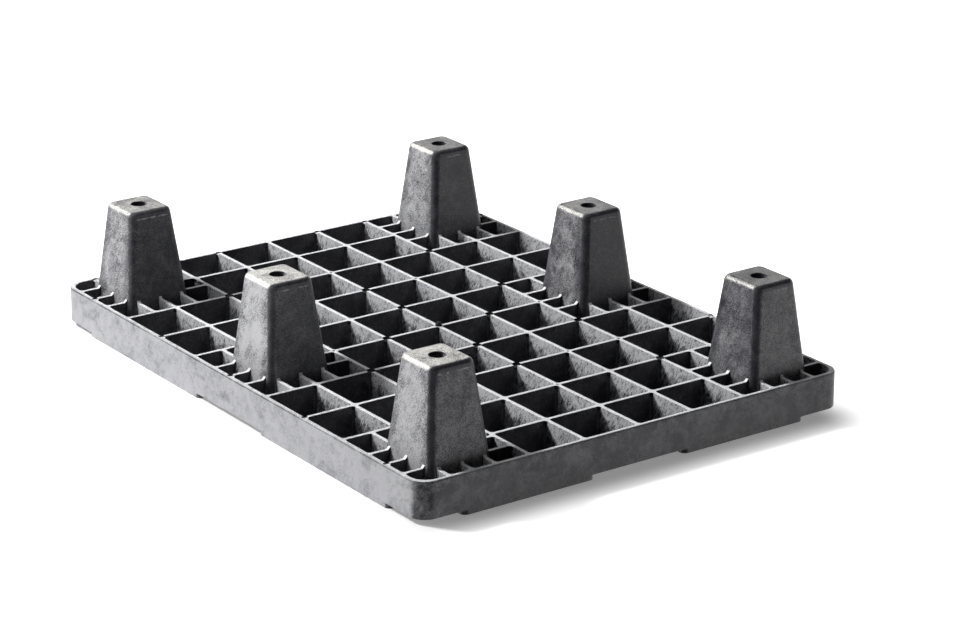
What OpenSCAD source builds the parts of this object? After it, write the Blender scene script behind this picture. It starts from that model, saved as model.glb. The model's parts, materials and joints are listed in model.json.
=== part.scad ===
// Nestable half-size display pallet: one injection moulding in recycled plastic,
// shown upside down, so it lies on the lips of its load face with its six feet up.
// The origin is on the floor under the middle, +X is the length and +Y the width.

/* [Deck] */
// Length of the pallet
pallet_l = 800; // [760:5:900]
// Width of the pallet
pallet_w = 600; // [560:5:700]
// Radius of the skirt's upright corners
corner_r = 21; // [16:1:30]
// Radius of the corner pockets inside the skirt
pocket_r = 21; // [10:1:28]
// Height of the skirt, from the load face to the rib tops
skirt_h = 44.5; // [35:0.5:60]
// Thickness of the skirt
skirt_t = 5; // [4:0.5:7]
// Thickness of the closed deck plate
deck_t = 4; // [3:0.5:6]
// Inset of the parting step round the outer rim
step_in = 0.9; // [0.5:0.1:1.5]
// Height of the parting step below the rib tops
step_h = 1.6; // [1:0.1:3]

/* [Ribs] */
// Thickness of a rib
rib_t = 4.6; // [3.5:0.1:6]
// Spacing of the ribs that cross the pallet
pitch_x = 81; // [78:0.5:84]
// Spacing of the ribs that run along the pallet
pitch_y = 76; // [73:0.5:79]
// Radius in the corners of a cell
cell_r = 4; // [1:0.5:8]
// Spacing of the short ribs round a foot, along the length
short_pitch_x = 33.5; // [30:0.5:35]
// Spacing of the short ribs round a foot, across the width
short_pitch_y = 30.5; // [28:0.5:32]

/* [Feet] */
// Distance of an end foot from the middle, along the length
foot_x = 329; // [325:0.5:332]
// Distance of a row of feet from the middle, across the width
foot_y = 227.5; // [225:0.5:230]
// Height of a foot above the rib tops
foot_h = 112; // [90:0.5:130]
// Length of a foot level with the rib tops
foot_l = 91; // [84:0.5:94]
// Width of a foot level with the rib tops
foot_w = 83; // [78:0.5:86]
// Length of a foot at its end, before the edge is rounded
end_l = 64; // [56:0.5:70]
// Width of a foot at its end, before the edge is rounded
end_w = 59; // [52:0.5:64]
// Radius of a foot's four long corners
foot_r = 10; // [7:0.5:14]
// Rounding of the edge of a foot's end
end_r = 6; // [3:0.5:6.5]
// Thickness of a foot's walls
foot_t = 4; // [3:0.5:5]
// Thickness of a foot's end
end_t = 5; // [4:0.5:8]
// Diameter of the hole in a foot's end
hole_d = 20; // [12:1:24]
// Flare of a foot's open mouth in the load face
mouth_flare = 2.5; // [1:0.5:3]
// Height and reach of the gussets where the short ribs meet a foot
gusset_s = 3; // [1.5:0.5:5]

/* [Lips] */
// Height of the lips that hold goods on the load face
lip_h = 6; // [4:0.5:10]
// Width of a lip
lip_w = 16; // [10:1:20]
// Gap from a corner of the pallet to the first lip of a long side
lip_corner_gap_l = 62; // [45:1:90]
// Gap from a corner of the pallet to the first lip of a short side
lip_corner_gap_w = 57; // [45:1:90]
// Gap between the two lips of a long side
lip_mid_gap_l = 136; // [80:1:200]
// Gap between the two lips of a short side
lip_mid_gap_w = 125; // [80:1:160]

/* [Moulding marks] */
// Diameter of the large ejector pin marks on the rib crossings
pin_d = 11; // [8:0.5:12]
// Depth of the large ejector pin marks
pin_depth = 3; // [1:0.5:4]
// Diameter of the small pin marks on the rib crossings
small_pin_d = 3; // [2:0.5:4]
// Depth of the small pin marks
small_pin_depth = 1; // [0.5:0.1:2]
// Diameter of the ejector pin marks in the rim
rim_pin_d = 8; // [5:0.5:8]
// Depth of the ejector pin marks in the rim
rim_pin_depth = 2; // [1:0.5:3]
// Distance of those marks from the skirt's outer face
rim_pin_in = 5.5; // [5.5:0.5:7]
// Diameter of the cut gate in the middle
gate_d = 8.5; // [6:0.5:12]
// Height of the cut gate above the rib tops
gate_h = 5.5; // [4.5:0.5:7]

/* [Hidden] */
rib_z = lip_h + skirt_h;
end_z = rib_z + foot_h;
arc_fn = 48;
corner_steps = 6;
edge_steps = 4;
over = 1;

edge_x = pallet_l / 2 - skirt_t / 2;
edge_y = pallet_w / 2 - skirt_t / 2;
// Centre lines of the ribs, with the skirt as the first and the last of them
grid_x = concat([-edge_x], [for (i = [-4:4]) i * pitch_x], [edge_x]);
grid_y = [for (j = [-2:2]) j * pitch_y];
bay_x = [for (i = [1:3]) i * pitch_x];
bay_y = [2 * pitch_y, 3 * pitch_y, edge_y];
end_bay_x = concat([3 * pitch_x], [for (i = [-1:1]) foot_x + i * short_pitch_x], [edge_x]);
mid_bay_x = concat([-pitch_x], [for (i = [-1:1]) i * short_pitch_x], [pitch_x]);
foot_bay_y = concat([2 * pitch_y], [for (j = [-1:1]) foot_y + j * short_pitch_y], [edge_y]);

// Gain in a foot's size for each millimetre down from its end
draft_l = (foot_l - end_l) / foot_h;
draft_w = (foot_w - end_w) / foot_h;

function rib_half(a, edge) = (abs(a) == edge ? skirt_t : rib_t) / 2;

// Corner points of a rounded rectangle at height z, anticlockwise seen from above
function ring(z, l, w, r) = [
    for (c = [0:3], k = [0:corner_steps])
        let (a = 90 * (c + k / corner_steps),
             sx = c == 0 || c == 3 ? 1 : -1,
             sy = c < 2 ? 1 : -1)
        [sx * (l / 2 - r) + r * cos(a), sy * (w / 2 - r) + r * sin(a), z]
];

// Section of a foot at height z, brought in all round by inset
function foot_ring(z, inset) = ring(
    z,
    end_l + draft_l * (end_z - z) - 2 * inset,
    end_w + draft_w * (end_z - z) - 2 * inset,
    max(foot_r - inset, 1)
);

// Solid through a stack of rings that have the same number of points
module loft(rings) {
    n = len(rings[0]);
    m = len(rings);
    sides = [
        for (i = [0:m - 2], k = [0:n - 1])
            let (a = i * n + k, b = i * n + (k + 1) % n)
            [a, a + n, b + n, b]
    ];
    bottom = [for (k = [0:n - 1]) k];
    top = [for (k = [n - 1:-1:0]) (m - 1) * n + k];
    polyhedron([for (q = rings, p = q) p], concat([bottom, top], sides));
}

module rounded_rect(l, w, r) {
    square([l - 2 * r, w], center = true);
    square([l, w - 2 * r], center = true);
    for (x = [-1, 1], y = [-1, 1])
        translate([x * (l / 2 - r), y * (w / 2 - r)]) circle(r, $fn = arc_fn);
}

// One pocket between neighbouring lines, except those that a foot covers
module cells(xs, ys, foot_bay = false) {
    for (i = [0:len(xs) - 2], j = [0:len(ys) - 2])
        if (!(foot_bay && i > 0 && i < 3 && j > 0 && j < 3)) {
            x0 = xs[i] + rib_half(xs[i], edge_x);
            x1 = xs[i + 1] - rib_half(xs[i + 1], edge_x);
            y0 = ys[j] + rib_half(ys[j], edge_y);
            y1 = ys[j + 1] - rib_half(ys[j + 1], edge_y);
            translate([(x0 + x1) / 2, (y0 + y1) / 2]) rounded_rect(x1 - x0, y1 - y0, cell_r);
        }
}

module all_cells() {
    cells(grid_x, grid_y);
    for (my = [0, 1]) mirror([0, my]) {
        cells(mid_bay_x, foot_bay_y, true);
        for (mx = [0, 1]) mirror([mx, 0]) {
            cells(bay_x, bay_y);
            cells(end_bay_x, foot_bay_y, true);
        }
    }
}

module rib_web() {
    translate([0, 0, lip_h]) linear_extrude(skirt_h) difference() {
        rounded_rect(pallet_l, pallet_w, corner_r);
        intersection() {
            rounded_rect(pallet_l - 2 * skirt_t, pallet_w - 2 * skirt_t, pocket_r);
            all_cells();
        }
    }
}

module deck_plate() {
    translate([0, 0, lip_h]) linear_extrude(deck_t) rounded_rect(pallet_l, pallet_w, corner_r);
}

// The rim's outer edge is set in where the two halves of the mould met
module parting_step() {
    translate([0, 0, rib_z - step_h]) linear_extrude(step_h + over) difference() {
        square([pallet_l + 2 * over, pallet_w + 2 * over], center = true);
        rounded_rect(pallet_l - 2 * step_in, pallet_w - 2 * step_in, corner_r - step_in);
    }
}

module at_feet() {
    for (x = [-foot_x, 0, foot_x], y = [-foot_y, foot_y]) translate([x, y, 0]) children();
}

module foot_outside() {
    rounding = [
        for (k = [0:edge_steps])
            let (a = 90 * k / edge_steps)
            foot_ring(end_z - end_r * (1 - sin(a)), end_r * (1 - cos(a)))
    ];
    loft(concat([foot_ring(lip_h, 0)], rounding));
}

// The next pallet's foot nests in this hollow, which is open through the load face
module foot_inside() {
    flare_z = lip_h + mouth_flare;
    loft([
        foot_ring(lip_h - over, foot_t - mouth_flare - over),
        foot_ring(flare_z, foot_t),
        foot_ring(end_z - end_t - end_r / 2, foot_t),
        foot_ring(end_z - end_t, foot_t + end_r / 2)
    ]);
    translate([0, 0, end_z - end_t - over]) cylinder(h = end_t + 2 * over, d = hole_d, $fn = arc_fn);
}

// Wedge on top of a short rib, against the foot's wall that stands half a foot from the middle
module gusset(half) {
    rotate([90, 0, 0]) linear_extrude(rib_t, center = true) polygon([
        [half - foot_t / 2, -over],
        [half + gusset_s, -over],
        [half + gusset_s, 0],
        [half, gusset_s],
        [half - foot_t / 2, gusset_s]
    ]);
}

module gussets() {
    for (a = [0, 180], j = [-1:1])
        rotate([0, 0, a]) translate([0, j * short_pitch_y, rib_z]) gusset(foot_l / 2);
    for (a = [90, 270], i = [-1:1])
        rotate([0, 0, a]) translate([0, i * short_pitch_x, rib_z]) gusset(foot_w / 2);
}

module lip(from, to) {
    translate([(from + to) / 2, 0, 0])
        linear_extrude(lip_h + deck_t / 2)
            rounded_rect(to - from, lip_w, lip_w / 2 - 0.1);
}

module lips() {
    for (my = [0, 1], mx = [0, 1]) mirror([0, my, 0]) mirror([mx, 0, 0]) {
        translate([0, pallet_w / 2 - lip_w / 2, 0])
            lip(lip_mid_gap_l / 2, pallet_l / 2 - lip_corner_gap_l);
        translate([pallet_l / 2 - lip_w / 2, 0, 0]) rotate([0, 0, 90])
            lip(lip_mid_gap_w / 2, pallet_w / 2 - lip_corner_gap_w);
    }
}

// Round mark that a pin left in the rib tops
module pin_mark(x, y, d, depth) {
    translate([x, y, rib_z - depth]) cylinder(h = depth + over, d = d, $fn = arc_fn);
}

// The large pins pushed near the gate and at the ends of the rows of feet, the small ones between
module pin_marks() {
    for (i = [-2, -1, 1, 2]) pin_mark(i * pitch_x, 0, pin_d, pin_depth);
    for (j = [-1, 1]) {
        pin_mark(0, j * pitch_y, pin_d, pin_depth);
        for (i = [-1, 1]) {
            pin_mark(i * pitch_x, 2 * j * pitch_y, pin_d, pin_depth);
            pin_mark(3 * i * pitch_x, 2 * j * pitch_y, pin_d, pin_depth / 2);
            pin_mark(2 * i * pitch_x, j * pitch_y, small_pin_d, small_pin_depth);
        }
        for (i = [-2, 0, 2]) pin_mark(i * pitch_x, 2 * j * pitch_y, small_pin_d, small_pin_depth);
        pin_mark(3 * j * pitch_x, 0, small_pin_d, small_pin_depth);
    }
}

module rim_pin_marks() {
    rim_x = pallet_l / 2 - rim_pin_in;
    rim_y = pallet_w / 2 - rim_pin_in;
    for (s = [-1, 1]) {
        for (x = [-foot_x, -2 * pitch_x, 0, 2 * pitch_x, foot_x])
            pin_mark(x, s * rim_y, rim_pin_d, rim_pin_depth);
        for (y = [pitch_y, 2 * pitch_y, foot_y + short_pitch_y], t = [-1, 1])
            pin_mark(s * rim_x, t * y, rim_pin_d, rim_pin_depth);
    }
}

// Stub of the cut sprue, with a rounded top
module gate() {
    r = gate_d / 2;
    dome = [for (a = [0:22.5:90]) [r * cos(a), gate_h - r * (1 - sin(a))]];
    translate([0, 0, rib_z]) rotate_extrude($fn = arc_fn)
        polygon(concat([[0, -over], [r, -over]], dome));
}

module pallet() {
    color("#35363a") difference() {
        union() {
            difference() {
                rib_web();
                parting_step();
                pin_marks();
                rim_pin_marks();
            }
            deck_plate();
            lips();
            gate();
            at_feet() foot_outside();
            at_feet() gussets();
        }
        at_feet() foot_inside();
    }
}

pallet();
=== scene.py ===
import json
import math
from types import SimpleNamespace
import bpy
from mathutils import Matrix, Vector

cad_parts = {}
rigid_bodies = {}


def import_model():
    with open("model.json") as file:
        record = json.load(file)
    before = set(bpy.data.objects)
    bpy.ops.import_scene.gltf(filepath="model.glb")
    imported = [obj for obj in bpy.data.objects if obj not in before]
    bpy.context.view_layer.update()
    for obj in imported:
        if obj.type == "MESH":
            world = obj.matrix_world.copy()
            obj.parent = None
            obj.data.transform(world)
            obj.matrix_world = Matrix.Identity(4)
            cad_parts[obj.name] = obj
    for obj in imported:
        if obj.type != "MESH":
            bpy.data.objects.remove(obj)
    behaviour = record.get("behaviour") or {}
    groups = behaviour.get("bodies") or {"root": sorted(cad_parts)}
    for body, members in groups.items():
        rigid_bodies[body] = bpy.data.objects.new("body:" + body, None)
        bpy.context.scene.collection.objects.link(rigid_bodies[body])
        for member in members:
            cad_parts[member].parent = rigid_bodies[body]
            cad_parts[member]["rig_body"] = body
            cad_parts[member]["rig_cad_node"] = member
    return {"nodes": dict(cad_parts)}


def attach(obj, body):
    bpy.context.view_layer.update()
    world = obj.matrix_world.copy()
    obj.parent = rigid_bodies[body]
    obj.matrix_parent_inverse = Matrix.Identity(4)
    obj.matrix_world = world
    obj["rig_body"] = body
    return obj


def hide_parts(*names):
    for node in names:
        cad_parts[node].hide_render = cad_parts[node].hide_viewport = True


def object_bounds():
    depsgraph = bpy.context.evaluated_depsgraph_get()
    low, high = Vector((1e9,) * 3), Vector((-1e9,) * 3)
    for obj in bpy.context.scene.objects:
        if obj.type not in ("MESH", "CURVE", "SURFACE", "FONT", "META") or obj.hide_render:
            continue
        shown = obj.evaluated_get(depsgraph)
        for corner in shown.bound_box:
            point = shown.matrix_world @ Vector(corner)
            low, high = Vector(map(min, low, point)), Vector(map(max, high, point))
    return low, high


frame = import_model()
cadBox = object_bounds()
middle = Vector(((cadBox[0].x + cadBox[1].x) / 2, (cadBox[0].y + cadBox[1].y) / 2, 0))
print("frame loaded")


def linear(hexColour):  # sRGB hex to the linear values that the shader takes
    parts = [int(hexColour[i:i + 2], 16) / 255 for i in (1, 3, 5)]
    return [p / 12.92 if p <= 0.04045 else ((p + 0.055) / 1.055) ** 2.4 for p in parts] + [1]


def addNode(tree, kind, inputs=None, **settings):  # an input is a value, or an output to link from
    node = tree.nodes.new(kind)
    for name, value in settings.items():
        setattr(node, name, value)
    for name, value in (inputs or {}).items():
        if isinstance(value, bpy.types.NodeSocket):
            tree.links.new(value, node.inputs[name])
        else:
            node.inputs[name].default_value = value
    return node.outputs


def perMetre(width):  # a pattern's scale on Object coordinates, from its width in millimetres
    return 1000 / width


def newMaterial(name):
    material = bpy.data.materials.new(name)
    material.use_nodes = True
    material.node_tree.nodes.clear()
    return material, material.node_tree


def pickOnly(piece):
    bpy.ops.object.select_all(action="DESELECT")
    piece.select_set(True)
    bpy.context.view_layer.objects.active = piece


# Camera: the angle that was worked out from the rib grid in the photograph
camera = {
    "aim": (0.0272, 0.0426, 0.0569),
    "azimuth": 54.769,
    "elevation": 19.876,
    "distance": 3.8227,
    "lens": 117.52,
    "clipEnd": 60,
}


def addCamera(s):
    a, e = math.radians(s["azimuth"]), math.radians(s["elevation"])
    back = Vector((math.sin(a) * math.cos(e), -math.cos(a) * math.cos(e), math.sin(e)))
    data = bpy.data.cameras.new("camera")
    data.lens = s["lens"]
    data.clip_end = s["clipEnd"]
    eye = bpy.data.objects.new("camera", data)
    bpy.context.scene.collection.objects.link(eye)
    eye.location = Vector(s["aim"]) + back * s["distance"]
    eye.rotation_mode = "QUATERNION"
    eye.rotation_quaternion = (-back).to_track_quat("-Z", "Y")
    bpy.context.scene.camera = eye


addCamera(camera)
print("camera placed")

# Lamps: level is how bright each one alone lights a white sheet that lies in the middle of the floor
lamps = {
    "key": {"towards": (-0.53, -0.50, 0.70), "distance": 3.2, "size": 0.55, "level": 0.70},
    "top": {"towards": (-0.30, 0.10, 1.0), "distance": 3.0, "size": 2.6, "level": 0.14},
    "side": {"towards": (-0.15, -0.95, 0.42), "distance": 1.6, "size": 1.2, "level": 0.10},
}


def addLamps(plan):
    for name, s in plan.items():
        towards = Vector(s["towards"]).normalized()
        data = bpy.data.lights.new(name, "AREA")
        data.shape = "SQUARE"
        data.size = s["size"]
        data.energy = s["level"] * math.pi ** 2 * s["distance"] ** 2 / towards.z
        lamp = bpy.data.objects.new(name, data)
        bpy.context.scene.collection.objects.link(lamp)
        lamp.location = middle + towards * s["distance"]
        lamp.rotation_mode = "QUATERNION"
        lamp.rotation_quaternion = towards.to_track_quat("Z", "Y")
        lamp.visible_camera = False


addLamps(lamps)
print("lamps set")

floor = {
    "size": 40,
    "colour": "#F2F2F2",
    "lift": (0.225, 1.0),  # white that the camera sees added to it, beside the pallet and away from it
    "liftReach": (0.008, 0.075),  # distances from the pallet between which that grows
    "liftInset": (0.010, 0.046),  # taken in at the -Y and +Y sides, where the shadow is fainter
}


def addFloor(s):
    bpy.ops.object.select_all(action="DESELECT")
    bpy.ops.mesh.primitive_plane_add(size=s["size"], location=(0, 0, 0))
    sheet = bpy.context.object
    sheet.name = "floor"
    material, tree = newMaterial("whitePaper")
    ray = addNode(tree, "ShaderNodeLightPath")
    where = addNode(tree, "ShaderNodeTexCoord")["Object"]
    low = Vector((cadBox[0].x, cadBox[0].y + s["liftInset"][0], 0))
    high = Vector((cadBox[1].x, cadBox[1].y - s["liftInset"][1], 0))
    away = addNode(tree, "ShaderNodeVectorMath", {0: where, 1: (low + high) / 2}, operation="SUBTRACT")[0]
    away = addNode(tree, "ShaderNodeVectorMath", {0: away}, operation="ABSOLUTE")[0]
    away = addNode(tree, "ShaderNodeVectorMath", {0: away, 1: (high - low) / 2}, operation="SUBTRACT")[0]
    away = addNode(tree, "ShaderNodeVectorMath", {0: away, 1: (0, 0, 0)}, operation="MAXIMUM")[0]
    away = addNode(tree, "ShaderNodeVectorMath", {0: away}, operation="LENGTH")["Value"]
    lift = addNode(
        tree, "ShaderNodeMapRange",
        {
            "Value": away, "From Min": s["liftReach"][0], "From Max": s["liftReach"][1],
            "To Min": s["lift"][0], "To Max": s["lift"][1],
        },
        interpolation_type="SMOOTHSTEP",
    )[0]
    matt = addNode(tree, "ShaderNodeBsdfDiffuse", {"Color": linear(s["colour"])})[0]
    glow = addNode(tree, "ShaderNodeEmission", {"Strength": lift})[0]
    seen = addNode(tree, "ShaderNodeAddShader", {0: matt, 1: glow})[0]
    paper = addNode(tree, "ShaderNodeMixShader", {"Fac": ray["Is Camera Ray"], 1: matt, 2: seen})[0]
    clear = addNode(tree, "ShaderNodeBsdfTransparent")[0]
    paper = addNode(tree, "ShaderNodeMixShader", {"Fac": ray["Is Glossy Ray"], 1: paper, 2: clear})[0]
    addNode(tree, "ShaderNodeOutputMaterial", {"Surface": paper})
    sheet.data.materials.append(material)


addFloor(floor)
print("floor laid")

studio = {
    "backdrop": 1.0,  # white
    "fill": 0.024,  # light from all round
    "low": 1.0,  # what reflections see low down: the white paper all round
    "overhead": 0.10,
    "horizon": (0.20, 0.55),  # where it turns dark above, as the sine of the elevation
    "darkSide": (0.82, -0.57, 0),  # the camera's side of the studio, which is dark
    "darkTurn": (0.40, 0.66),  # it starts and is full where a direction points this much towards it
    "dark": 0.15,
}


def addStudio(s):
    world = bpy.data.worlds.new("studio")
    bpy.context.scene.world = world
    world.use_nodes = True
    tree = world.node_tree
    tree.nodes.clear()
    ray = addNode(tree, "ShaderNodeLightPath")
    way = addNode(tree, "ShaderNodeTexCoord")["Generated"]
    rise = addNode(tree, "ShaderNodeSeparateXYZ", {"Vector": way})["Z"]
    room = addNode(
        tree, "ShaderNodeMapRange",
        {
            "Value": rise, "From Min": s["horizon"][0], "From Max": s["horizon"][1],
            "To Min": s["low"], "To Max": s["overhead"],
        },
        interpolation_type="SMOOTHSTEP",
    )[0]
    side = addNode(
        tree, "ShaderNodeVectorMath", {0: way, 1: Vector(s["darkSide"]).normalized()},
        operation="DOT_PRODUCT",
    )["Value"]
    side = addNode(
        tree, "ShaderNodeMapRange",
        {
            "Value": side, "From Min": s["darkTurn"][0], "From Max": s["darkTurn"][1],
            "To Min": 1, "To Max": s["dark"],
        },
        interpolation_type="SMOOTHSTEP",
    )[0]
    room = addNode(tree, "ShaderNodeMath", {0: room, 1: side}, operation="MULTIPLY")[0]
    level = addNode(
        tree, "ShaderNodeMix", {"Factor": ray["Is Glossy Ray"], 2: s["fill"], 3: room}, data_type="FLOAT"
    )[0]
    level = addNode(
        tree, "ShaderNodeMix", {"Factor": ray["Is Camera Ray"], 2: level, 3: s["backdrop"]},
        data_type="FLOAT",
    )[0]
    light = addNode(tree, "ShaderNodeBackground", {"Color": (1, 1, 1, 1), "Strength": level})[0]
    addNode(tree, "ShaderNodeOutputWorld", {"Surface": light})


addStudio(studio)
bpy.context.scene.view_settings.view_transform = "Standard"
print("studio set")

# Recycled polyethylene, injection moulded: charcoal with marbled flow marks. The sides that face the
# key lamp and all tops are pale grey, chalk and painted light, in specks, streaks and clouds, and the
# feet's corners and end edges are bare again, partly rubbed by stacking and partly painted shade.
# Three values marked "zones" are for the inside of a cell, the skirt's outer side and a foot.
# Widths of marks are in millimetres, and other sizes in metres.
plastic = {
    "dark": "#27272F",
    "flow": {"colour": "#45454D", "width": 34, "detail": 6, "distortion": 1.6, "range": (0.35, 0.7)},
    # the cover's pale colours, chalk and painted light together
    "chalkSideWithPaintedLight": "#AEAEB2",
    "chalkTopWithPaintedLight": "#F6F7F9",
    "chalkEndWithPaintedLight": "#F8F6EF",  # of the feet's ends, as pale as a top from painted light, and warm with dust
    "paintedTopLight": (0.35, 0, 0),  # zones: how far the sides take the tops' paler colour, which is painted light
    "roughness": (0.30, 0.42),  # bare and chalked
    "ior": 1.54,
    "bump": {"strength": 0.25, "depth": 0.0003},
    "noise": {"roughness": 0.6, "middle": 0.5},  # of the flow, marks and veins

    "skirtCorner": 0.021,  # radius
    "skirtBand": 0.0025,  # skin of the skirt's outer sides
    "foot": (0.329, 0.2275),  # middle of a corner foot
    "footEnd": (0.032, 0.0295),  # half of a foot's end, and how much that grows for each metre down
    "footDraft": (0.1205, 0.1071),
    "footSkin": 0.0006,  # what lies no further outside it still counts as the foot
    "ribPitch": (0.081, 0.076),
    "rise": (0.08, 0.45),  # a top starts and is full where a face points this much upwards

    "paintedLightFrom": (-0.50, -0.86, 0),  # the side that is painted as lit, from about where the key lamp stands
    "turn": (0.50, 0.85),  # the painted light and chalk start, and are full, where a face points this much towards it
    "sideCover": 0.9,
    "paintedCellShade": {"heights": (0.026, 0.047), "cover": (0.3, 1.3)},  # painted shade: the share of the cover down a cell's wall, less deeper down
    "footCover": {  # of a foot's sides and its end, by where it stands along X and Y
        (-1, -1): (0.52, 0.32), (0, -1): (1.05, 0.63), (1, -1): (0.98, 0.60),
        (-1, 1): (0.69, 0.18), (0, 1): (0.40, 0.17), (1, 1): (0.30, 0.11),
    },
    "footReach": (0.06, 0.08),  # distances from its middle between which its own cover stops
    "endDepth": (0.004, 0.001),  # depths under the end between which the sides' cover becomes the end's
    "handled": (0, 0.44, 0.80),  # zones: scuffs for each metre that a side lies out from the middle
    "nearTops": {"across": (-0.295, -0.17), "cover": (0.62, 1.0)},  # less on ribs near the -Y side

    "rubbedAndPaintedShade": {  # bare at a foot's upright corners and end edges, partly rubbed, partly painted shade, by how far they turn to the ends along X
        "start": (0.10, 0.42), "stop": (0.88, 0.993),
        "depth": (0.0088, 0.0068),  # end-on faces are bare too, from here to the end
    },
    "rubbedAndPaintedShadeSide": {"from": (-0.026, -0.009), "clean": 0.6},  # and the sides along X, beside the corner
    "lip": {  # the pale lower edge of that band
        "depth": 0.0090, "half": 0.0010, "facing": 0.98, "cover": 0.9,
        "patchWidth": 11.11, "patches": (0.44, 0.60),
    },
    "paintedEdgeHighlight": {"turned": (0.24, 0.46), "share": 0.6, "least": 0.35},  # painted highlight on the end's edges along X
    "groove": {"height": 0.0489, "half": 0.0006, "paintedShade": -0.8},  # the parting step, darkened as painted shade

    # the pin marks' near black colour is painted shade in their recesses, and the cut gate gets it too
    "pinMark": {"reach": 0.0059, "heights": (0.0462, 0.0503), "colour": "#0C0C0E", "roughness": 0.8},
    "gateHeights": (0.0507, 0.0567),  # of the cut stub, just clear of the rib tops

    "marks": {  # shown is in zones
        "cloud": {"width": 26, "shown": (1.3, 1.8, 2.1), "detail": 4, "distortion": 0.8, "long": 1},
        "patch": {"width": 9, "shown": (1.8, 0.8, 0.9), "detail": 3, "distortion": 0.6, "long": 1},
        "speck": {"width": 2.0, "shown": (1.8, 0.5, 0.6), "detail": 1, "distortion": 0.0, "long": 1},
        "grain": {"width": 1.1, "shown": (1.2, 0.7, 2.2), "detail": 0, "distortion": 0.0, "long": 1},
        "streak": {"width": 4.0, "shown": (0.0, 0.4, 0.8), "detail": 2, "distortion": 0.4, "long": 7},
        "scratch": {"width": 1.9, "shown": (2.8, 0.0, 0.3), "detail": 1, "distortion": 0.2, "long": 5},
    },
    "lean": 28,  # degrees, of long marks
    "calm": (0.1, 0.8, 0.18),  # zones: how much the marks show on a bare face
    "calmTop": (0.4, 0.4, 0.7),  # zones: and on a top
    "fullMarks": 0.5,  # cover at which they show in full
    "vein": {
        "width": 6, "detail": 2, "distortion": 1.2, "half": 0.03, "patches": (0.42, 0.56),
        "even": 0.42,  # dark on more cover than this, and pale on less
        "shown": (1.4, 0.3, 0),  # zones
    },
}


def findParts(tree, s):  # where a point lies, how it faces, and which part of the moulding it is on
    place = addNode(tree, "ShaderNodeTexCoord")
    p = SimpleNamespace(where=place["Object"], normal=place["Normal"])
    x, p.y, p.height = addNode(tree, "ShaderNodeSeparateXYZ", {0: p.where})
    p.flat = addNode(tree, "ShaderNodeCombineXYZ", {"X": x, "Y": p.y})[0]
    turned = addNode(tree, "ShaderNodeVectorMath", {0: p.normal}, operation="ABSOLUTE")[0]
    p.turnedX, p.turnedY, p.turnedZ = addNode(tree, "ShaderNodeSeparateXYZ", {0: turned})
    rise = addNode(tree, "ShaderNodeSeparateXYZ", {0: p.normal})["Z"]
    p.up = addNode(
        tree, "ShaderNodeMapRange", {"Value": rise, "From Min": s["rise"][0], "From Max": s["rise"][1]}
    )[0]

    # The skirt's outer sides lie furthest out from the plan that runs through its corners' centres
    core = (cadBox[1].x - s["skirtCorner"], cadBox[1].y - s["skirtCorner"], 1)
    out = addNode(tree, "ShaderNodeVectorMath", {0: p.where}, operation="ABSOLUTE")[0]
    out = addNode(tree, "ShaderNodeVectorMath", {0: out, 1: core}, operation="SUBTRACT")[0]
    out = addNode(tree, "ShaderNodeVectorMath", {0: out, 1: (0, 0, 0)}, operation="MAXIMUM")[0]
    p.out = addNode(tree, "ShaderNodeVectorMath", {0: out}, operation="LENGTH")["Value"]
    band = s["skirtCorner"] - s["skirtBand"]
    p.onSkirt = addNode(tree, "ShaderNodeMath", {0: p.out, 1: band}, operation="GREATER_THAN")[0]

    # A foot is what lies within the tapered plan of the nearest one
    footX, footY = s["foot"]
    foot = addNode(tree, "ShaderNodeVectorMath", {0: p.flat, 1: (footX / 2, 0, 0)}, operation="ADD")[0]
    foot = addNode(tree, "ShaderNodeVectorMath", {0: foot, 1: (footX, 2 * footY, 1)}, operation="SNAP")[0]
    foot = addNode(tree, "ShaderNodeVectorMath", {0: foot, 1: (0, footY, 0)}, operation="ADD")[0]
    past = addNode(tree, "ShaderNodeVectorMath", {0: p.flat, 1: foot}, operation="SUBTRACT")[0]
    past = addNode(tree, "ShaderNodeVectorMath", {0: past}, operation="ABSOLUTE")[0]
    down = addNode(tree, "ShaderNodeMath", {0: cadBox[1].z, 1: p.height}, operation="SUBTRACT")[0]
    half = addNode(
        tree, "ShaderNodeVectorMath", {0: down, 1: (*s["footDraft"], 0), 2: (*s["footEnd"], 0)},
        operation="MULTIPLY_ADD",
    )[0]
    past = addNode(tree, "ShaderNodeVectorMath", {0: past, 1: half}, operation="SUBTRACT")[0]
    p.pastX, pastY = addNode(tree, "ShaderNodeSeparateXYZ", {0: past})[:2]
    past = addNode(tree, "ShaderNodeMath", {0: p.pastX, 1: pastY}, operation="MAXIMUM")[0]
    p.onFoot = addNode(tree, "ShaderNodeMath", {0: past, 1: s["footSkin"]}, operation="LESS_THAN")[0]

    p.outer = addNode(tree, "ShaderNodeMath", {0: p.onSkirt, 1: p.onFoot}, operation="MAXIMUM")[0]
    inCell = addNode(tree, "ShaderNodeMath", {0: 1.0, 1: p.outer}, operation="SUBTRACT")[0]
    p.zone = addNode(tree, "ShaderNodeCombineXYZ", {"X": inCell, "Y": p.onSkirt, "Z": p.onFoot})[0]
    return p


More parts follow.
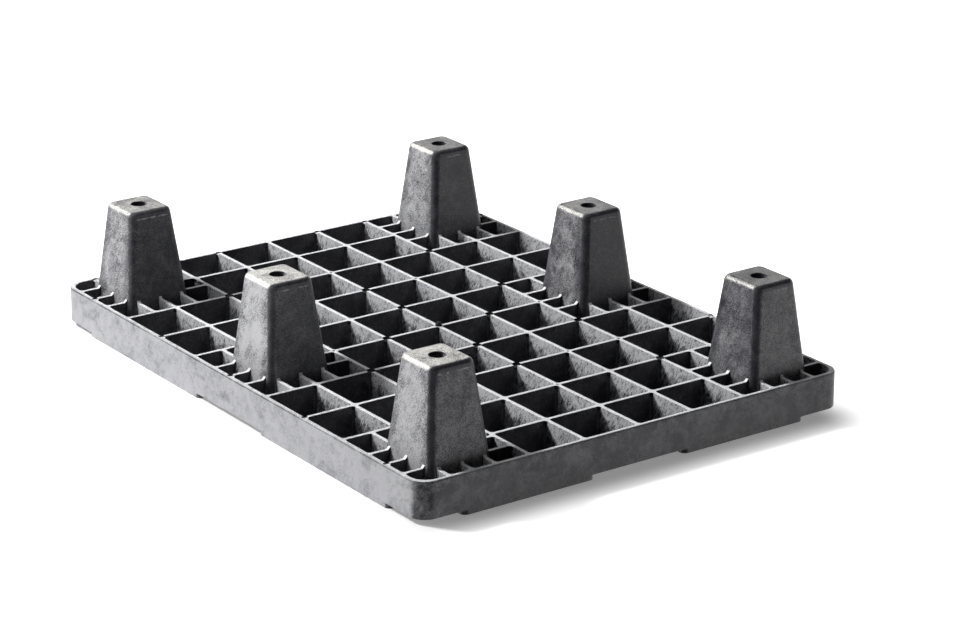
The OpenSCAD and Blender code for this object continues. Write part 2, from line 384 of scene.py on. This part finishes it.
def paintedLightAndChalkCover(tree, s, p):  # painted light and some chalk on the sides facing the key lamp and on tops, with painted shade deeper in a cell
    facing = addNode(
        tree, "ShaderNodeVectorMath", {0: p.normal, 1: Vector(s["paintedLightFrom"]).normalized()},
        operation="DOT_PRODUCT",
    )["Value"]
    side = addNode(
        tree, "ShaderNodeMapRange",
        {"Value": facing, "From Min": s["turn"][0], "From Max": s["turn"][1], "To Max": s["sideCover"]},
        interpolation_type="SMOOTHSTEP",
    )[0]
    cover = addNode(tree, "ShaderNodeMath", {0: side, 1: p.up}, operation="MAXIMUM")[0]
    low, high = s["paintedCellShade"]["heights"]
    least, most = s["paintedCellShade"]["cover"]
    share = addNode(
        tree, "ShaderNodeMapRange",
        {"Value": p.height, "From Min": low, "From Max": high, "To Min": least, "To Max": most},
        interpolation_type="SMOOTHSTEP",
    )[0]
    share = addNode(tree, "ShaderNodeMix", {"Factor": p.outer, 2: share, 3: 1.0}, data_type="FLOAT")[0]
    return addNode(tree, "ShaderNodeMath", {0: cover, 1: share}, operation="MULTIPLY")[0]


def footShare(tree, s, p):  # each foot has its own share of the cover, set by where it stands, and its end less than its sides
    own = (1.0, 1.0, 0.0)
    for (stepX, stepY), values in s["footCover"].items():
        centre = (stepX * s["foot"][0], stepY * s["foot"][1], 0)
        apart = addNode(tree, "ShaderNodeVectorMath", {0: p.flat, 1: centre}, operation="DISTANCE")["Value"]
        apart = addNode(
            tree, "ShaderNodeMapRange",
            {"Value": apart, "From Min": s["footReach"][0], "From Max": s["footReach"][1]},
        )[0]
        own = addNode(
            tree, "ShaderNodeMix", {"Factor": apart, 4: (*values, 0), 5: own}, data_type="VECTOR"
        )[1]
    sides, ends = addNode(tree, "ShaderNodeSeparateXYZ", {0: own})[:2]
    low, high = [cadBox[1].z - depth for depth in s["endDepth"]]
    share = addNode(
        tree, "ShaderNodeMapRange",
        {"Value": p.height, "From Min": low, "From Max": high, "To Min": sides, "To Max": ends},
    )[0]
    share = addNode(tree, "ShaderNodeMix", {"Factor": p.onFoot, 2: 1.0, 3: share}, data_type="FLOAT")[0]
    return share, sides


def scuffCover(tree, s, p):  # outer sides are scuffed by handling
    out = addNode(tree, "ShaderNodeVectorMath", {0: p.normal, 1: p.where}, operation="DOT_PRODUCT")["Value"]
    out = addNode(tree, "ShaderNodeMath", {0: out, 1: 0.0}, operation="MAXIMUM")[0]
    handled = addNode(
        tree, "ShaderNodeVectorMath", {0: p.zone, 1: s["handled"]}, operation="DOT_PRODUCT"
    )["Value"]
    return addNode(tree, "ShaderNodeMath", {0: out, 1: handled}, operation="MULTIPLY")[0]


def unrubbedUnshadedShare(tree, s, p):  # the cover left at a foot's upright corners and end edges, bare partly from stacking and partly as painted shade
    low, high = s["rubbedAndPaintedShade"]["start"]
    rubbedAndPaintedShade = addNode(tree, "ShaderNodeMapRange", {"Value": p.turnedX, "From Min": low, "From Max": high})[0]
    low, high = s["rubbedAndPaintedShadeSide"]["from"]
    beside = addNode(
        tree, "ShaderNodeMapRange",
        {"Value": p.pastX, "From Min": low, "From Max": high, "To Max": s["rubbedAndPaintedShadeSide"]["clean"]},
        interpolation_type="SMOOTHSTEP",
    )[0]
    upright = addNode(tree, "ShaderNodeMath", {0: 1.0, 1: p.up}, operation="SUBTRACT")[0]
    beside = addNode(tree, "ShaderNodeMath", {0: beside, 1: upright}, operation="MULTIPLY")[0]
    rubbedAndPaintedShade = addNode(tree, "ShaderNodeMath", {0: rubbedAndPaintedShade, 1: beside}, operation="MAXIMUM")[0]
    low, high = s["rubbedAndPaintedShade"]["stop"]
    ending = addNode(
        tree, "ShaderNodeMapRange",
        {"Value": p.turnedX, "From Min": low, "From Max": high, "To Min": 1, "To Max": 0},
    )[0]
    low, high = [cadBox[1].z - depth for depth in s["rubbedAndPaintedShade"]["depth"]]
    band = addNode(tree, "ShaderNodeMapRange", {"Value": p.height, "From Min": low, "From Max": high})[0]
    ending = addNode(tree, "ShaderNodeMath", {0: ending, 1: band}, operation="MAXIMUM")[0]
    rubbedAndPaintedShade = addNode(tree, "ShaderNodeMath", {0: rubbedAndPaintedShade, 1: ending}, operation="MULTIPLY")[0]
    rubbedAndPaintedShade = addNode(tree, "ShaderNodeMath", {0: rubbedAndPaintedShade, 1: p.onFoot}, operation="MULTIPLY")[0]
    return addNode(tree, "ShaderNodeMath", {0: 1.0, 1: rubbedAndPaintedShade}, operation="SUBTRACT")[0]


def lipCover(tree, s, p):  # a broken pale line on a foot's end-on faces, under the bare band
    lip = s["lip"]
    line = addNode(
        tree, "ShaderNodeMath", {0: p.height, 1: cadBox[1].z - lip["depth"], 2: lip["half"]},
        operation="COMPARE",
    )[0]
    endOn = addNode(tree, "ShaderNodeMath", {0: p.turnedX, 1: lip["facing"]}, operation="GREATER_THAN")[0]
    line = addNode(tree, "ShaderNodeMath", {0: line, 1: endOn}, operation="MULTIPLY")[0]
    patchy = addNode(
        tree, "ShaderNodeTexNoise", {"Vector": p.where, "Scale": perMetre(lip["patchWidth"])}
    )["Fac"]
    low, high = lip["patches"]
    patchy = addNode(
        tree, "ShaderNodeMapRange",
        {"Value": patchy, "From Min": low, "From Max": high, "To Max": lip["cover"]},
    )[0]
    return addNode(tree, "ShaderNodeMath", {0: line, 1: patchy}, operation="MULTIPLY")[0]


def paintedHighlightCover(tree, s, p, sides, unrubbedUnshaded):  # painted highlight: a foot's end edges along X are painted white
    low, high = s["paintedEdgeHighlight"]["turned"]
    paintedEdgeHighlight = addNode(tree, "ShaderNodeMath", {0: p.turnedY, 1: p.turnedZ}, operation="MULTIPLY")[0]
    paintedEdgeHighlight = addNode(tree, "ShaderNodeMapRange", {"Value": paintedEdgeHighlight, "From Min": low, "From Max": high})[0]
    paintedEdgeHighlight = addNode(tree, "ShaderNodeMath", {0: paintedEdgeHighlight, 1: p.onFoot}, operation="MULTIPLY")[0]
    paintedEdgeHighlight = addNode(tree, "ShaderNodeMath", {0: paintedEdgeHighlight, 1: unrubbedUnshaded}, operation="MULTIPLY")[0]
    share = addNode(
        tree, "ShaderNodeMath", {0: sides, 1: s["paintedEdgeHighlight"]["share"], 2: s["paintedEdgeHighlight"]["least"]},
        operation="MULTIPLY_ADD",
    )[0]
    return addNode(tree, "ShaderNodeMath", {0: paintedEdgeHighlight, 1: share}, operation="MULTIPLY")[0]


def groovePaintedShadeShare(tree, s, p):  # painted shade along the parting step round the skirt takes away its pale cover
    g = s["groove"]
    groove = addNode(
        tree, "ShaderNodeMath", {0: p.height, 1: g["height"], 2: g["half"]}, operation="COMPARE"
    )[0]
    groove = addNode(tree, "ShaderNodeMath", {0: groove, 1: p.onSkirt}, operation="MULTIPLY")[0]
    return addNode(tree, "ShaderNodeMath", {0: groove, 1: g["paintedShade"], 2: 1.0}, operation="MULTIPLY_ADD")[0]


def ribTopShare(tree, s, p):  # the ribs near the -Y side have less on their tops
    near, far = s["nearTops"]["across"]
    least, full = s["nearTops"]["cover"]
    share = addNode(
        tree, "ShaderNodeMapRange",
        {"Value": p.y, "From Min": near, "From Max": far, "To Min": least, "To Max": full},
    )[0]
    ribTop = addNode(tree, "ShaderNodeMath", {0: 1.0, 1: p.onFoot}, operation="SUBTRACT")[0]
    ribTop = addNode(tree, "ShaderNodeMath", {0: ribTop, 1: p.up}, operation="MULTIPLY")[0]
    return addNode(tree, "ShaderNodeMix", {"Factor": ribTop, 2: 1.0, 3: share}, data_type="FLOAT")[0]


def findPinMarks(tree, s, p):  # the sunk pin marks and the cut gate are painted near black: painted shade in the marks
    half = (*(Vector(s["ribPitch"]) / 2), 0)
    crossing = addNode(tree, "ShaderNodeVectorMath", {0: p.flat, 1: half}, operation="ADD")[0]
    crossing = addNode(
        tree, "ShaderNodeVectorMath", {0: crossing, 1: (*s["ribPitch"], 1)}, operation="SNAP"
    )[0]
    apart = addNode(tree, "ShaderNodeVectorMath", {0: p.flat, 1: crossing}, operation="DISTANCE")["Value"]
    apart = addNode(tree, "ShaderNodeMath", {0: apart, 1: p.out}, operation="ADD")[0]
    near = addNode(tree, "ShaderNodeMath", {0: apart, 1: s["pinMark"]["reach"]}, operation="LESS_THAN")[0]
    within = 0.0
    for low, high in (s["pinMark"]["heights"], s["gateHeights"]):
        level = addNode(
            tree, "ShaderNodeMath", {0: p.height, 1: (low + high) / 2, 2: (high - low) / 2},
            operation="COMPARE",
        )[0]
        within = addNode(tree, "ShaderNodeMath", {0: level, 1: within}, operation="MAXIMUM")[0]
    return addNode(tree, "ShaderNodeMath", {0: within, 1: near}, operation="MULTIPLY")[0]


def breakUp(tree, s, p, cover):  # clouds, patches, specks and long leaning marks, least on a bare face
    broken, marks = 0.0, {}
    for name, m in s["marks"].items():
        along = addNode(
            tree, "ShaderNodeMapping",
            {"Vector": p.where, "Rotation": (0, math.radians(s["lean"]), 0), "Scale": (1, 1, m["long"])},
            vector_type="TEXTURE",
        )[0]
        marks[name] = addNode(
            tree, "ShaderNodeTexNoise",
            {
                "Vector": along, "Scale": perMetre(m["width"]), "Detail": m["detail"],
                "Roughness": s["noise"]["roughness"], "Distortion": m["distortion"],
            },
        )["Fac"]
        mark = addNode(
            tree, "ShaderNodeMath", {0: marks[name], 1: s["noise"]["middle"]}, operation="SUBTRACT"
        )[0]
        shown = addNode(
            tree, "ShaderNodeVectorMath", {0: p.zone, 1: m["shown"]}, operation="DOT_PRODUCT"
        )["Value"]
        broken = addNode(
            tree, "ShaderNodeMath", {0: mark, 1: shown, 2: broken}, operation="MULTIPLY_ADD"
        )[0]
    calm = addNode(
        tree, "ShaderNodeVectorMath", {0: p.zone, 1: s["calm"]}, operation="DOT_PRODUCT"
    )["Value"]
    shown = addNode(
        tree, "ShaderNodeMapRange",
        {"Value": cover, "From Min": 0, "From Max": s["fullMarks"], "To Min": calm, "To Max": 1},
    )[0]
    onTop = addNode(
        tree, "ShaderNodeVectorMath", {0: p.zone, 1: s["calmTop"]}, operation="DOT_PRODUCT"
    )["Value"]
    onTop = addNode(tree, "ShaderNodeMix", {"Factor": p.up, 2: 1.0, 3: onTop}, data_type="FLOAT")[0]
    shown = addNode(tree, "ShaderNodeMath", {0: shown, 1: onTop}, operation="MULTIPLY")[0]
    chalkAndPaintedLight = addNode(tree, "ShaderNodeMath", {0: broken, 1: shown, 2: cover}, operation="MULTIPLY_ADD")[0]
    return chalkAndPaintedLight, shown, marks


def addVeins(tree, s, p, cover, chalkAndPaintedLight, shown, marks):  # fine curly scratches, in patches
    v = s["vein"]
    vein = addNode(
        tree, "ShaderNodeTexNoise",
        {
            "Vector": p.where, "Scale": perMetre(v["width"]), "Detail": v["detail"],
            "Roughness": s["noise"]["roughness"], "Distortion": v["distortion"],
        },
    )["Fac"]
    vein = addNode(
        tree, "ShaderNodeMath", {0: vein, 1: s["noise"]["middle"], 2: v["half"]}, operation="COMPARE"
    )[0]
    low, high = v["patches"]
    patchy = addNode(
        tree, "ShaderNodeMapRange", {"Value": marks["cloud"], "From Min": low, "From Max": high}
    )[0]
    vein = addNode(tree, "ShaderNodeMath", {0: vein, 1: patchy}, operation="MULTIPLY")[0]
    vein = addNode(tree, "ShaderNodeMath", {0: vein, 1: shown}, operation="MULTIPLY")[0]
    change = addNode(tree, "ShaderNodeMath", {0: v["even"], 1: cover}, operation="SUBTRACT")[0]
    strength = addNode(
        tree, "ShaderNodeVectorMath", {0: p.zone, 1: v["shown"]}, operation="DOT_PRODUCT"
    )["Value"]
    change = addNode(tree, "ShaderNodeMath", {0: change, 1: strength}, operation="MULTIPLY")[0]
    chalkAndPaintedLight = addNode(tree, "ShaderNodeMath", {0: vein, 1: change, 2: chalkAndPaintedLight}, operation="MULTIPLY_ADD")[0]
    return addNode(tree, "ShaderNodeClamp", {"Value": chalkAndPaintedLight})[0]


def mixColours(tree, s, p, chalkAndPaintedLight, paintedMarkShade):  # charcoal with paler flow marks, painted shade in the pin marks, and chalk and painted light over it
    f = s["flow"]
    flow = addNode(
        tree, "ShaderNodeTexNoise",
        {
            "Vector": p.where, "Scale": perMetre(f["width"]), "Detail": f["detail"],
            "Roughness": s["noise"]["roughness"], "Distortion": f["distortion"],
        },
    )["Fac"]
    low, high = f["range"]
    flow = addNode(tree, "ShaderNodeMapRange", {"Value": flow, "From Min": low, "From Max": high})[0]
    ground = addNode(
        tree, "ShaderNodeMix", {"Factor": flow, 6: linear(s["dark"]), 7: linear(f["colour"])},
        data_type="RGBA",
    )[2]
    ground = addNode(
        tree, "ShaderNodeMix", {"Factor": paintedMarkShade, 6: ground, 7: linear(s["pinMark"]["colour"])},
        data_type="RGBA",
    )[2]
    paintedTopLight = addNode(
        tree, "ShaderNodeVectorMath", {0: p.zone, 1: s["paintedTopLight"]}, operation="DOT_PRODUCT"
    )["Value"]
    paintedTopLight = addNode(tree, "ShaderNodeMath", {0: paintedTopLight, 1: p.up}, operation="MAXIMUM")[0]
    # tops and foot ends take the paler colour, which is painted light
    top = addNode(
        tree, "ShaderNodeMix", {"Factor": p.onFoot, 6: linear(s["chalkTopWithPaintedLight"]), 7: linear(s["chalkEndWithPaintedLight"])},
        data_type="RGBA",
    )[2]
    pale = addNode(
        tree, "ShaderNodeMix", {"Factor": paintedTopLight, 6: linear(s["chalkSideWithPaintedLight"]), 7: top}, data_type="RGBA"
    )[2]
    return addNode(tree, "ShaderNodeMix", {"Factor": chalkAndPaintedLight, 6: ground, 7: pale}, data_type="RGBA")[2]


def makePlastic(s):
    material, tree = newMaterial("recycledPolyethylene")
    p = findParts(tree, s)

    # How much chalk and painted light cover it: each step leaves a share of it, or covers as much by itself
    feet, sides = footShare(tree, s, p)
    unrubbedUnshaded = unrubbedUnshadedShare(tree, s, p)
    paintedMarkShade = findPinMarks(tree, s, p)
    kept = addNode(tree, "ShaderNodeMath", {0: 1.0, 1: paintedMarkShade}, operation="SUBTRACT")[0]
    steps = (
        (feet, "MULTIPLY"),
        (scuffCover(tree, s, p), "MAXIMUM"),
        (unrubbedUnshaded, "MULTIPLY"),
        (lipCover(tree, s, p), "MAXIMUM"),
        (paintedHighlightCover(tree, s, p, sides, unrubbedUnshaded), "MAXIMUM"),
        (groovePaintedShadeShare(tree, s, p), "MULTIPLY"),
        (ribTopShare(tree, s, p), "MULTIPLY"),
        (kept, "MULTIPLY"),
    )
    cover = paintedLightAndChalkCover(tree, s, p)
    for step, operation in steps:
        cover = addNode(tree, "ShaderNodeMath", {0: cover, 1: step}, operation=operation)[0]

    chalkAndPaintedLight, shown, marks = breakUp(tree, s, p, cover)
    chalkAndPaintedLight = addVeins(tree, s, p, cover, chalkAndPaintedLight, shown, marks)
    chalkAndPaintedLight = addNode(tree, "ShaderNodeMath", {0: chalkAndPaintedLight, 1: kept}, operation="MULTIPLY")[0]

    bare, chalked = s["roughness"]
    rough = addNode(tree, "ShaderNodeMapRange", {"Value": chalkAndPaintedLight, "To Min": bare, "To Max": chalked})[0]
    rough = addNode(
        tree, "ShaderNodeMix", {"Factor": paintedMarkShade, 2: rough, 3: s["pinMark"]["roughness"]}, data_type="FLOAT"
    )[0]
    bump = addNode(
        tree, "ShaderNodeBump",
        {"Height": marks["speck"], "Strength": s["bump"]["strength"], "Distance": s["bump"]["depth"]},
    )[0]
    surface = addNode(
        tree, "ShaderNodeBsdfPrincipled",
        {
            "Base Color": mixColours(tree, s, p, chalkAndPaintedLight, paintedMarkShade), "Roughness": rough, "Normal": bump,
            "IOR": s["ior"],
        },
    )[0]
    addNode(tree, "ShaderNodeOutputMaterial", {"Surface": surface})
    return material


recycledPolyethylene = makePlastic(plastic)
print("plastic made")

# The moulding: a copy of the CAD node with its sharp edges rounded as the mould leaves them
moulding = {
    "mergeDistance": 0.00001,
    "ribTop": 0.0505,
    "rimMarkDepth": 0.002,
    "rimReach": 0.011,
    "seams": (  # half way between ribs and through the feet, on both sides of the middle
        (0, 0.0405, 0.1215, 0.2025, 0.262, 0.329, 0.3645),
        (0, 0.038, 0.114, 0.19, 0.2275, 0.266),
    ),
    "flatAngle": 1,
    "edgeRadius": 0.0004,
    "edgeSegments": 2,
    "edgeAngle": 40,
    "smoothAngle": 35,
}


def makeMoulding(s):
    node = frame["nodes"]["pallet"]
    piece = node.copy()
    piece.data = node.data.copy()
    piece.name = "moulding"
    piece.parent = None
    bpy.context.scene.collection.objects.link(piece)
    pickOnly(piece)
    for corner in piece.data.vertices:  # the pin marks in the near short rim are full, level with its top
        inRim = corner.co.x > cadBox[1].x - s["rimReach"]
        if inRim and abs(corner.co.z - s["ribTop"] + s["rimMarkDepth"]) < s["mergeDistance"]:
            corner.co.z = s["ribTop"]
    bpy.ops.object.mode_set(mode="EDIT")
    bpy.ops.mesh.select_all(action="SELECT")
    bpy.ops.mesh.remove_doubles(threshold=s["mergeDistance"])
    for way, places in zip(((1, 0, 0), (0, 1, 0)), s["seams"]):  # they keep the flat faces simple
        for at in sorted({*places, *(-a for a in places)}):
            bpy.ops.mesh.select_all(action="SELECT")
            bpy.ops.mesh.bisect(plane_co=Vector(way) * at, plane_no=way)
            bpy.ops.mesh.mark_seam()
    bpy.ops.mesh.select_all(action="SELECT")
    bpy.ops.mesh.dissolve_limited(angle_limit=math.radians(s["flatAngle"]), delimit={"SEAM"})
    bpy.ops.object.mode_set(mode="OBJECT")
    bevel = piece.modifiers.new("edges", "BEVEL")
    bevel.limit_method = "ANGLE"
    bevel.angle_limit = math.radians(s["edgeAngle"])
    bevel.width = s["edgeRadius"]
    bevel.segments = s["edgeSegments"]
    bevel.use_clamp_overlap = False
    bpy.ops.object.modifier_apply(modifier="edges")
    for corner in piece.data.vertices:  # the rounded ends of the lips are flush with the skirt
        for k in range(3):
            corner.co[k] = min(max(corner.co[k], cadBox[0][k]), cadBox[1][k])
    bpy.ops.object.shade_smooth_by_angle(angle=math.radians(s["smoothAngle"]))
    flat = piece.modifiers.new("flat", "WEIGHTED_NORMAL")  # flat faces stay flat up to their rounded edges
    flat.keep_sharp = True
    bpy.ops.object.modifier_apply(modifier="flat")
    piece.data.materials.clear()
    piece.data.materials.append(recycledPolyethylene)
    for key in ("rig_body", "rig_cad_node"):  # the copy is a piece, and no longer the CAD node
        if key in piece:
            del piece[key]
    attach(piece, "root")
    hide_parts("pallet")


makeMoulding(moulding)
print("moulding made")
